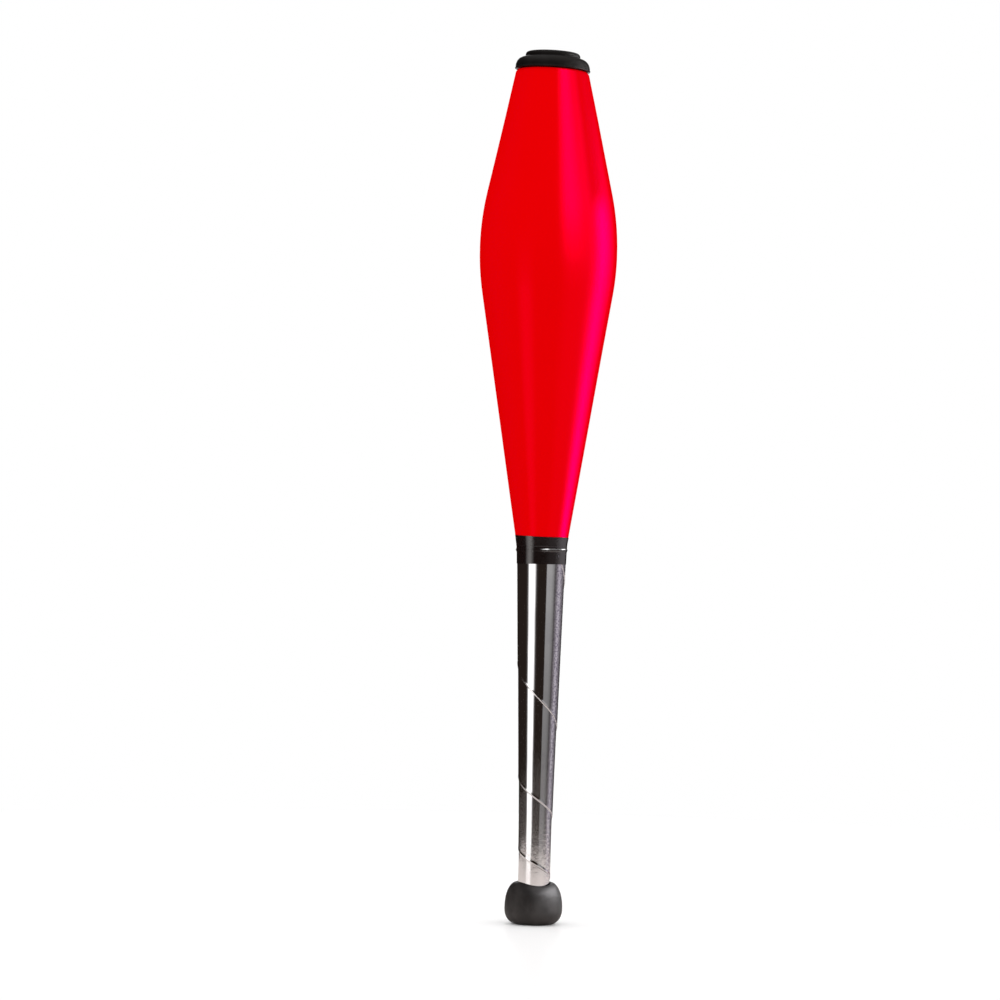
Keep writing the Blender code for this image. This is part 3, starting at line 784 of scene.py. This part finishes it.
def makeKnob(material):
    shape = knobShape
    foot, rim = shape["footRadius"], shape["rimRadius"]
    socket, recess = shape["socketRadius"], shape["recessRadius"]
    outline = filledOutline([
        arcPoints(rim, shape["widest"], knobRadius - rim, knobTop - shape["widest"], 88, 0, 34),
        arcPoints(foot, shape["footRise"], knobRadius - foot, shape["footRise"], 0, -88, 28),
        (recess + shape["recessEdge"], 0.0),
        (recess, shape["recessEdge"]),
        (recess, shape["recessDepth"]),
        (holeRadius, shape["recessDepth"]),
        (holeRadius, shape["socketFloor"]),
        (socket, shape["socketFloor"]),
        (socket, knobTop - shape["rimRound"]),
    ], shape["spacing"])
    angle = evenAngles(shape["columns"])[None, :]
    r, z = outline[:, :1], outline[:, 1:]
    points = aroundAxis(r, z, angle)
    outside = smoothStep(socket + 0.0002, socket + 0.0015, r) * smoothStep(0.0, 0.002, z)
    flash = shape["flashHeight"] * np.exp(-((z - shape["flashAt"]) / shape["flashWidth"]) ** 2)
    r = r + outside * (flash + shape["wobble"] * softRipple(points, 31, 0.01, 0.03, 12))
    # the sag is rimDip * cos(turn from dipAzimuth)^2 on that side, fading out over dipReach
    turn = np.cos(angle + math.pi / 2 - math.radians(shape["dipAzimuth"]))
    sag = shape["rimDip"] * np.maximum(turn, 0) ** 2 * smoothStep(knobTop - shape["dipReach"], knobTop, z)
    points = aroundAxis(r, z - sag, angle)
    return finishPiece(ringSurface("knobRubber", points), material, "black_rubber", "knob")


capShape = {
    "flangeGap": 0.0003,
    "bead": 0.0003,
    "beadHeight": 0.0011,
    "shoulder": 0.5165,
    "shoulderWide": 0.0049,
    "shoulderTall": 0.0058,
    "bossRadius": 0.0163,
    "bossRound": 0.0019,
    "webLow": 0.5100,
    "webHigh": 0.5150,
    "recessRadius": 0.0080,
    "skirtRadius": 0.0193,
    "skirtWall": 0.0020,
    "collarRadius": 0.0090,
    "collarBore": 0.0063,
    "collarLow": 0.5010,
    "cornerRound": 0.0005,
    "squareInside": (0.0085, 0.015),  # radii between which the slant sets in
    "wobble": 0.00003,
    "spacing": 0.0007,
    "columns": 224,
}


def makeTopCap(material):
    shape = capShape
    flangeLow = mouthHeight + shape["flangeGap"]
    flange = capRadius - shape["bead"]
    bead = shape["beadHeight"] / 2
    boss, bossRound = shape["bossRadius"], shape["bossRound"]
    wide, tall = shape["shoulderWide"], shape["shoulderTall"]
    corner, shoulder = shape["cornerRound"], shape["shoulder"]
    skirt, skirtInside = shape["skirtRadius"], shape["skirtRadius"] - shape["skirtWall"]
    recess, webLow, webHigh = shape["recessRadius"], shape["webLow"], shape["webHigh"]
    outline = filledOutline([
        arcPoints(boss - bossRound, clubTop - bossRound, bossRound, bossRound, 90, 0, 12),
        arcPoints(boss + corner, shoulder + corner, corner, corner, 180, 270, 6),
        arcPoints(flange - wide, shoulder - tall, wide, tall, 90, 3, 26),
        arcPoints(flange - bead + shape["bead"], flangeLow + bead, bead, bead, 60, -90, 10),
        (skirt, flangeLow),
        (skirt, capLow),
        (skirtInside, capLow),
        (skirtInside, webLow),
        (shape["collarRadius"], webLow),
        (shape["collarRadius"], shape["collarLow"]),
        (shape["collarBore"], shape["collarLow"]),
        (shape["collarBore"], webLow),
        (holeRadius, webLow),
        (holeRadius, webHigh),
        (recess, webHigh),
        (recess, clubTop - corner),
        (recess + corner, clubTop),
    ], shape["spacing"])
    angle = evenAngles(shape["columns"])[None, :]
    r, z = outline[:, :1], outline[:, 1:]
    outside = smoothStep(boss - 0.002, boss, r) * smoothStep(flangeLow, flangeLow + 0.001, z)
    r = r + outside * shape["wobble"] * softRipple(aroundAxis(r, z, angle), 41, 0.01, 0.03, 12)
    points = aroundAxis(np.minimum(r, capRadius), z, angle)
    points[..., 2] -= capTilt * points[..., 0] * smoothStep(*shape["squareInside"], r)
    return finishPiece(ringSurface("capRubber", points), material, "black_rubber", "top_cap")


washerShape = {"edge": 0.00018, "spacing": 0.0008, "columns": 96}


def makeWasher(name, node, material):
    # a flat ring with its edges broken by small roundings
    low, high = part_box(node)
    edge = washerShape["edge"]
    outline = filledOutline([
        arcPoints(high.x - edge, high.z - edge, edge, edge, 90, 0, 4),
        arcPoints(high.x - edge, low.z + edge, edge, edge, 0, -90, 4),
        arcPoints(holeRadius + edge, low.z + edge, edge, edge, 270, 180, 4),
        arcPoints(holeRadius + edge, high.z - edge, edge, edge, 180, 90, 4),
    ], washerShape["spacing"])
    angle = evenAngles(washerShape["columns"])[None, :]
    points = aroundAxis(outline[:, :1], outline[:, 1:], angle)
    return finishPiece(ringSurface(name, points), material, "zinc_steel", node)


screwShape = {
    "root": 0.00145,
    "crest": 0.00195,
    "pitch": 0.0016,
    "point": 0.0040,
    "pointShare": 0.06,        # of the radius, at the very point
    "runOut": 0.001,           # where the thread fades under the head
    "headRadius": 0.0038,
    "headHeight": 0.0024,
    "headDish": 0.0001,
    "crossArm": 0.0021,
    "crossHalfWidth": 0.00042,
    "crossDepth": 0.0014,
    "crossSide": 0.00018,      # how gently the cross's sides go down, and its ends
    "crossEnd": 0.0005,
    "columns": 96,
    "shankRows": 150,
    "faceRows": 34,
}


def makeScrew(name, node, pointUp, material):
    # the thread is a ridge whose phase turns with the angle and runs on with the height, and
    # the head's face is a disc whose height drops inside the two arms of a cross
    shape = screwShape
    low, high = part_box(node)
    length = high.z - low.z - shape["headHeight"]
    angle = evenAngles(shape["columns"])[None, :]
    shank = np.linspace(length, 0, shape["shankRows"])[:, None]
    taper = smoothStep(0, shape["point"], length - shank)
    taper = shape["pointShare"] + (1 - shape["pointShare"]) * taper
    ridge = (0.5 + 0.5 * np.cos(angle - fullTurn * shank / shape["pitch"])) ** 2
    ridge = ridge * smoothStep(0, shape["runOut"], shank)
    shankRadius = (shape["root"] + (shape["crest"] - shape["root"]) * ridge) * taper
    half = shape["headHeight"] / 2
    head = np.vstack([
        [(shape["headRadius"], 0.0)],
        arcPoints(shape["headRadius"] - half, -half, half, half, 0, -80, 14),
    ])
    disc = np.linspace(head[-1, 0], 0.00005, shape["faceRows"])
    crown = -shape["headHeight"] + (disc / shape["headRadius"]) ** 2 * shape["headDish"]
    profile = np.vstack([head, np.column_stack([disc[1:], crown[1:]])])
    r = np.vstack([shankRadius, np.broadcast_to(profile[:, :1], (len(profile), angle.size))])
    z = np.vstack([shank, profile[:, 1:]]) + 0 * angle
    x, y = r * np.cos(angle), r * np.sin(angle)
    insideX, insideY = (
        smoothStep(0, shape["crossSide"], shape["crossHalfWidth"] - np.abs(place)) for place in (x, y))
    alongX, alongY = (
        smoothStep(0, shape["crossEnd"], shape["crossArm"] - np.abs(place)) for place in (x, y))
    onFace = z < -0.9 * shape["headHeight"]
    z = z + onFace * shape["crossDepth"] * np.maximum(insideY * alongX, insideX * alongY)
    if pointUp:
        points = np.stack([x, y, low.z + shape["headHeight"] + z], axis=-1)
    else:
        points = np.stack([x, -y, high.z - shape["headHeight"] - z], axis=-1)
    return finishPiece(rodSurface(name, points, 40), material, "zinc_steel", node)


redMaterial = makeRedPlastic()
foilMaterial = makeSilverFoil()
tapeMaterial = makeBlackTape()
knobMaterial = makeBlackRubber("knobRubberFinish", knobRubber)
capMaterial = makeBlackRubber("capRubberFinish", capRubber)
steelMaterial = makeSteel()
woodMaterial = makeBeech()
plasticMaterial = makePlainPlastic()
print("finishes made")

bodyPiece = makeBodyShell(redMaterial)
print("body made")
foilPiece = makeFoilWrap(foilMaterial)
print("foil wound")
tapePiece = makeNeckTape(tapeMaterial)
knobPiece = makeKnob(knobMaterial)
capPiece = makeTopCap(capMaterial)
print("tape, knob and cap made")
steelPieces = [
    makeWasher("knobWasher", "knob_washer", steelMaterial),
    makeWasher("capWasher", "cap_washer", steelMaterial),
    makeScrew("knobScrew", "knob_screw", True, steelMaterial),
    makeScrew("capScrew", "cap_screw", False, steelMaterial),
]
print("washers and screws made")

hiddenFinishes = {
    "core_dowel": woodMaterial,
    "handle_sleeve": plasticMaterial,
    "neck_bush": plasticMaterial,
    "neck_tack_1": steelMaterial,
    "neck_tack_2": steelMaterial,
    "neck_tack_3": steelMaterial,
}
for node, material in hiddenFinishes.items():
    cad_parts[node].data.materials.clear()
    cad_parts[node].data.materials.append(material)


view = {
    "distance": 2.2,
    "height": 0.2251,
    "aim": (-0.0255, 0.0, 0.2521),
    "lens": 132.7,
    "sensor": 36.0,
    "reach": 50.0,
    "lean": math.radians(1.34),
}


def makeCamera(look=view):
    data = bpy.data.cameras.new("camera")
    data.lens = look["lens"]
    data.sensor_width = look["sensor"]
    data.clip_end = look["reach"]
    camera = bpy.data.objects.new("camera", data)
    bpy.context.scene.collection.objects.link(camera)
    spot = Vector((look["aim"][0], -look["distance"], look["height"]))
    toward = (Vector(look["aim"]) - spot).to_track_quat("-Z", "Y").to_matrix().to_4x4()
    camera.matrix_world = Matrix.Translation(spot) @ toward @ Matrix.Rotation(look["lean"], 4, "Z")
    bpy.context.scene.camera = camera


surroundings = {"backdrop": 1.0, "skyLight": 0.96, "darkRoom": (0.019, 0.0135, 0.011)}

floorLook = {
    "radius": 0.9,
    "colour": (0.82, 0.75, 0.715),   # as the light that bounces off it finds it
    "seenColour": 1.0,               # as it is looked at
    "shown": 1.04,                   # its brightness in the open
    "mirrored": (0.80, 0.06),        # how much of it mirrors show near the club and far from it
    "mirrorScale": (0.9, 1.0, 1.0),
    "fade": (0.42, 0.49),            # distances between which mirrors stop showing it
    "sheen": 0.05,
    "sheenRoughness": 0.25,
}


def makeFloor(look=floorLook):
    # a round pale table top, which stays white when looked at and fades out in mirrors
    angle = evenAngles(128)
    rings = np.linspace(0.0, look["radius"], 24)[1:, None]
    points = aroundAxis(rings, np.zeros_like(rings), angle[None, :]).reshape(-1, 3)
    index = np.pad(np.arange(len(points)).reshape(len(rings), -1), ((0, 0), (0, 1)), mode="wrap")
    middle = np.column_stack([np.full(len(angle), len(points)), index[0, :-1], index[0, 1:]])
    mesh = bpy.data.meshes.new("tableTop")
    faces = gridFaces(index)[:, ::-1].tolist() + middle.tolist()
    mesh.from_pydata(points.tolist() + [(0.0, 0.0, 0.0)], [], faces)
    table = bpy.data.objects.new("tableTop", mesh)
    bpy.context.scene.collection.objects.link(table)
    finish = Finish("tableTop")
    distance = finish.add("ShaderNodeVectorMath", {"operation": "LENGTH"}, {
        0: finish.stretched(look["mirrorScale"])}, output="Value")
    seen = finish.add("ShaderNodeLightPath", output="Is Camera Ray")
    mirrored = finish.add("ShaderNodeLightPath", output="Is Glossy Ray")
    matt = finish.add("ShaderNodeBsdfDiffuse", inputs={
        "Color": finish.colourMix(seen, look["colour"], (look["seenColour"],) * 3)})
    lift = look["shown"] - surroundings["skyLight"] * look["seenColour"]
    glow = finish.add("ShaderNodeEmission", inputs={"Strength": seen * lift})
    face = finish.add("ShaderNodeAddShader", inputs={0: matt, 1: glow})
    sheen = finish.add("ShaderNodeBsdfGlossy", inputs={"Roughness": look["sheenRoughness"]})
    mixed = finish.add("ShaderNodeMixShader", inputs={0: look["sheen"], 1: face, 2: sheen})
    clear = finish.add("ShaderNodeBsdfTransparent")
    near, far = look["mirrored"]
    hidden = mirrored * (1.0 - near + (near - far) * distance.smooth(*look["fade"]))
    table.data.materials.append(finish.finished(
        finish.add("ShaderNodeMixShader", inputs={0: hidden, 1: mixed, 2: clear})))
    return table


def makeSurroundings(look=surroundings):
    # white behind the club, an even soft light on it, and a dark room for what it mirrors
    world = bpy.data.worlds.new("studio")
    bpy.context.scene.world = world
    world.use_nodes = True
    tree = world.node_tree
    tree.nodes.clear()
    path = tree.nodes.new("ShaderNodeLightPath")
    output = tree.nodes.new("ShaderNodeOutputWorld")
    shades = []
    for colour in (look["darkRoom"], (look["skyLight"],) * 3, (look["backdrop"],) * 3):
        shade = tree.nodes.new("ShaderNodeBackground")
        shade.inputs["Color"].default_value = (*colour, 1.0)
        shades.append(shade.outputs[0])
    below = shades[0]
    for shade, ray in ((shades[1], "Is Diffuse Ray"), (shades[2], "Is Camera Ray")):
        mix = tree.nodes.new("ShaderNodeMixShader")
        tree.links.new(path.outputs[ray], mix.inputs[0])
        tree.links.new(below, mix.inputs[1])
        tree.links.new(shade, mix.inputs[2])
        below = mix.outputs[0]
    tree.links.new(below, output.inputs["Surface"])


white = (1.0, 1.0, 1.0)

# each panel of light: the share of its glow at azimuths from the front towards +X, in degrees, and
# the glow at heights; both are read in between
panels = {
    "bodyLeft": {
        "for": "body", "tint": white, "distance": 1.50,
        "across": ((-58, 0), (-46, 0.9), (-41, 1), (-34, 0.8), (-22, 0)),
        "up": ((-0.9, 1.3), (-0.3, 1.5), (-0.1, 2.1), (0.02, 2.0), (0.15, 1.0), (0.5, 0.3), (0.8, 0))},
    "bodyBright": {
        "for": "body", "tint": white, "distance": 1.51,
        "across": ((15, 0), (21, 0.2), (30, 0.9), (42, 1), (52, 0.6), (62, 0.2), (88, 0)),
        "up": ((0.3, 0), (0.55, 4.5), (1.0, 19.0), (2.0, 19.0))},
    "bodySoft": {
        "for": "body", "tint": white, "distance": 1.52,
        "across": ((18, 0), (38, 1), (72, 1), (84, 0)),
        "up": ((-0.9, 0.6), (0.0, 0.7), (0.5, 2.4), (0.9, 1.5), (1.3, 0.8))},
    "bodyRim": {
        "for": "body", "tint": white, "distance": 1.53,
        "across": ((70, 0), (80, 0.2), (90, 0.8), (100, 1), (112, 0.7), (125, 0.35), (140, 0.1), (152, 0)),
        "up": ((-0.9, 12.0), (0.2, 12.0), (0.5, 14.0), (0.8, 14.0), (0.97, 0.8), (1.2, 0))},
    "foilStreak": {
        "for": "foil", "tint": white, "distance": 1.54,
        "across": ((-74, 0), (-66, 0.03), (-61, 0.4), (-57, 1), (-31, 1), (-26, 0.4), (-21, 0.02), (-12, 0)),
        "up": ((-0.9, 1.6), (0.6, 1.4))},
    "foilBand": {
        "for": "foil", "tint": (0.97, 0.98, 1.0), "distance": 1.55,
        "across": ((27, 0), (30, 1), (52, 0.95), (64, 0.7), (69, 0.45), (73, 0.1), (78, 0)),
        "up": ((-0.9, 0.15), (-0.12, 0.16), (0.0, 0.22), (0.07, 0.30), (0.12, 0.37), (0.6, 0.38))},
    "foilRear": {
        "for": "foil", "tint": (0.94, 0.88, 1.0), "distance": 1.56,
        "across": ((70, 0), (78, 0.2), (86, 0.4), (96, 0.85), (108, 1), (118, 0.6), (140, 0.25), (158, 0)),
        "up": ((-0.9, 0.42), (-0.12, 0.45), (0.1, 0.56), (0.9, 0.56))},
    "tapeLeft": {
        "for": "tape", "tint": (1.0, 0.97, 0.95), "distance": 1.57,
        "across": ((-79, 0), (-71, 0.55), (-60, 1), (-53, 1), (-44, 0.5), (-36, 0)),
        "up": ((-0.9, 1.45), (0.5, 1.4))},
    "tapeRight": {
        "for": "tape", "tint": (1.0, 0.95, 1.0), "distance": 1.58,
        "across": ((14, 0), (40, 0.14), (66, 0.2), (80, 0.55), (97, 1), (116, 0.85), (137, 0.5), (150, 0)),
        "up": ((-0.9, 0.62), (0.6, 0.62))},
    "tapeGlint": {
        "for": "tape", "tint": white, "distance": 1.59,
        "across": ((-8, 0), (4, 1), (22, 1), (36, 0.1), (98, 0.1), (112, 1), (138, 1), (150, 0)),
        "up": ((0.55, 0), (0.75, 15.0), (2.4, 20.0))},
    "knobSide": {
        "for": "knob", "tint": (0.98, 0.97, 1.0), "distance": 1.60,
        "across": ((30, 0), (50, 0.4), (80, 1), (120, 1), (140, 0)),
        "up": ((-0.2, 0.3), (0.2, 1.1), (0.5, 3.6), (1.0, 8.2), (2.2, 11.5))},
    "capSide": {
        "for": "cap", "tint": white, "distance": 1.61,
        "across": ((50, 0), (75, 1), (120, 1), (140, 0)),
        "up": ((-0.9, 3.0), (0.5, 2.0), (1.0, 1.0), (2.0, 1.0))},
    "capRound": {
        "for": "cap", "tint": white, "distance": 1.63,
        "across": ((-180, 0.5), (-60, 1), (60, 0.4), (180, 0.5)),
        "up": ((1.6, 0.2), (4.0, 1.0), (16.0, 1.0))},
    "steelRound": {
        "for": "steel", "tint": white, "distance": 1.64,
        "across": ((-180, 0.4), (-70, 1), (0, 0.3), (60, 1), (180, 0.4)),
        "up": ((-16.0, 0.9), (-2.0, 0.6), (-0.5, 0.2), (1.5, 0.3), (4.0, 0.9), (16.0, 0.9))},
    "back": {
        "for": "all", "tint": white, "distance": 1.62,
        "across": ((171, 0), (173, 1), (187, 1), (189, 0)),
        "up": ((-0.5, 1.6), (1.6, 3.0))},
    "far": {
        "for": "table", "tint": white, "distance": 2.60,
        "across": ((-180, 1), (180, 1)),
        "up": ((0.001, 1.05), (2.0, 1.05))},
}


def makePanel(name, look, receivers):
    # a curved sheet of light round the club, seen only by glossy surfaces; its glow at a point is
    # the share read at the azimuth times the glow read at the height
    azimuths, shares = zip(*look["across"])
    heights, glows = zip(*look["up"])
    azimuth = np.linspace(azimuths[0], azimuths[-1], 181)[None, :]
    height = np.linspace(heights[0], heights[-1], 61)[:, None]
    distance = np.full_like(height, look["distance"])
    points = aroundAxis(distance, height, np.radians(azimuth) - math.pi / 2)
    index = np.arange(points[..., 0].size).reshape(points.shape[:2])
    mesh = bpy.data.meshes.new(name)
    mesh.from_pydata(points.reshape(-1, 3).tolist(), [], gridFaces(index).tolist())
    glow = np.interp(azimuth, azimuths, shares) * np.interp(height, heights, glows)
    tinted = glow[..., None] * np.array(look["tint"])
    colour = np.concatenate([tinted, np.ones(glow.shape + (1,))], axis=-1)
    mesh.attributes.new("glow", "FLOAT_COLOR", "POINT").data.foreach_set("color", colour.ravel())
    panel = bpy.data.objects.new(name, mesh)
    bpy.context.scene.collection.objects.link(panel)
    finish = Finish(name)
    shade = finish.add("ShaderNodeAttribute", {"attribute_name": "glow"}, output="Color")
    light = finish.add("ShaderNodeEmission", inputs={"Color": shade, "Strength": 1.0})
    clear = finish.add("ShaderNodeBsdfTransparent")
    both = finish.add("ShaderNodeAddShader", inputs={0: light, 1: clear})
    panel.data.materials.append(finish.finished(both))
    panel.visible_camera = False
    panel.visible_diffuse = False
    panel.visible_shadow = False
    if look["for"] != "all":
        group = bpy.data.collections.new(name + "Receivers")
        for thing in receivers[look["for"]]:
            group.objects.link(thing)
        panel.light_linking.receiver_collection = group


makeCamera()
tableTop = makeFloor()
makeSurroundings()
lightReceivers = {
    "body": [bodyPiece],
    "foil": [foilPiece],
    "tape": [tapePiece],
    "knob": [knobPiece],
    "cap": [capPiece],
    "steel": steelPieces,
    "table": [tableTop],
}
for panelName, panelLook in panels.items():
    makePanel(panelName, panelLook, lightReceivers)
bpy.context.scene.view_settings.view_transform = "Standard"
bpy.context.scene.view_settings.look = "None"
print("camera, floor and light set")
